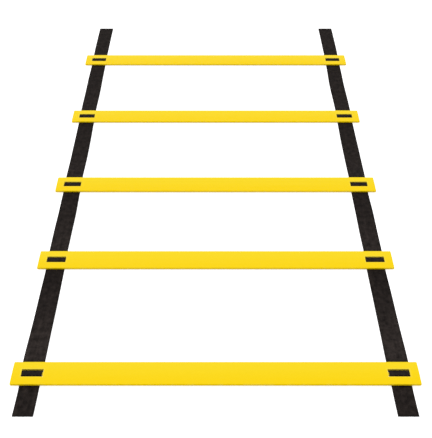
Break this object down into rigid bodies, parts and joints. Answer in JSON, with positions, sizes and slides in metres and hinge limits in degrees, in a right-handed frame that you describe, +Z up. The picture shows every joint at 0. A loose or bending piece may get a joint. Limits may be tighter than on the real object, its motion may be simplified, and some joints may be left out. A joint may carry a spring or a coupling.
{
  "type": "agility ladder",
  "caption": "Flat-rung agility ladder: plastic slats woven onto a pair of webbing straps, laid flat for footwork drills; rungs slide to set spacing, bays fold to stack.",
  "frame": {"origin": "centre of the laid-out ladder's footprint, on the ground", "axes": "+X to the right along the rungs, +Y from the near end (rung_1) to the far end (rung_5), +Z up"},
  "size_m": [0.5, 1.0994, 0.0045],
  "materials": {
    "rung_plastic": "bright yellow moulded polypropylene, satin with a faint gloss",
    "webbing": "charcoal black woven polyester webbing, dull"
  },
  "bodies": {
    "straps_1": {"left_strap_front_1": "webbing", "left_strap_rear_1": "webbing", "right_strap_front_1": "webbing", "right_strap_rear_1": "webbing"},
    "rung_1_carriage": {"rung_1": "rung_plastic", "left_strap_weave_1": "webbing", "right_strap_weave_1": "webbing"},
    "straps_2": {"left_strap_front_2": "webbing", "left_strap_rear_2": "webbing", "right_strap_front_2": "webbing", "right_strap_rear_2": "webbing"},
    "rung_2_carriage": {"rung_2": "rung_plastic", "left_strap_weave_2": "webbing", "right_strap_weave_2": "webbing"},
    "straps_3": {"left_strap_front_3": "webbing", "left_strap_rear_3": "webbing", "right_strap_front_3": "webbing", "right_strap_rear_3": "webbing"},
    "rung_3_carriage": {"rung_3": "rung_plastic", "left_strap_weave_3": "webbing", "right_strap_weave_3": "webbing"},
    "straps_4": {"left_strap_front_4": "webbing", "left_strap_rear_4": "webbing", "right_strap_front_4": "webbing", "right_strap_rear_4": "webbing"},
    "rung_4_carriage": {"rung_4": "rung_plastic", "left_strap_weave_4": "webbing", "right_strap_weave_4": "webbing"},
    "straps_5": {"left_strap_front_5": "webbing", "left_strap_rear_5": "webbing", "right_strap_front_5": "webbing", "right_strap_rear_5": "webbing"},
    "rung_5_carriage": {"rung_5": "rung_plastic", "left_strap_weave_5": "webbing", "right_strap_weave_5": "webbing"}
  },
  "joints": [
    {"name": "fold_4", "type": "hinge", "parent": "straps_5", "child": "straps_4", "pos_m": [0, 0.28655, 0.01325], "axis": [-1, 0, 0], "range_deg": [0, 180]},
    {"name": "fold_3", "type": "hinge", "parent": "straps_4", "child": "straps_3", "pos_m": [0, 0.06335, 0.0105], "axis": [-1, 0, 0], "range_deg": [0, 180]},
    {"name": "fold_2", "type": "hinge", "parent": "straps_3", "child": "straps_2", "pos_m": [0, -0.1465, 0.00775], "axis": [-1, 0, 0], "range_deg": [0, 180]},
    {"name": "fold_1", "type": "hinge", "parent": "straps_2", "child": "straps_1", "pos_m": [0, -0.35892, 0.005], "axis": [-1, 0, 0], "range_deg": [0, 180]},
    {"name": "rung_1_slide", "type": "slide", "parent": "straps_1", "child": "rung_1_carriage", "axis": [0, 1, 0], "range_m": [-0.025, 0.05], "deforming": ["left_strap_front_1", "left_strap_rear_1", "right_strap_front_1", "right_strap_rear_1"]},
    {"name": "rung_2_slide", "type": "slide", "parent": "straps_2", "child": "rung_2_carriage", "axis": [0, 1, 0], "range_m": [-0.05, 0.038], "deforming": ["left_strap_front_2", "left_strap_rear_2", "right_strap_front_2", "right_strap_rear_2"]},
    {"name": "rung_3_slide", "type": "slide", "parent": "straps_3", "child": "rung_3_carriage", "axis": [0, 1, 0], "range_m": [-0.038, 0.045], "deforming": ["left_strap_front_3", "left_strap_rear_3", "right_strap_front_3", "right_strap_rear_3"]},
    {"name": "rung_4_slide", "type": "slide", "parent": "straps_4", "child": "rung_4_carriage", "axis": [0, 1, 0], "range_m": [-0.045, 0.045], "deforming": ["left_strap_front_4", "left_strap_rear_4", "right_strap_front_4", "right_strap_rear_4"]},
    {"name": "rung_5_slide", "type": "slide", "parent": "straps_5", "child": "rung_5_carriage", "axis": [0, 1, 0], "range_m": [-0.045, 0.075], "deforming": ["left_strap_front_5", "left_strap_rear_5", "right_strap_front_5", "right_strap_rear_5"]}
  ]
}
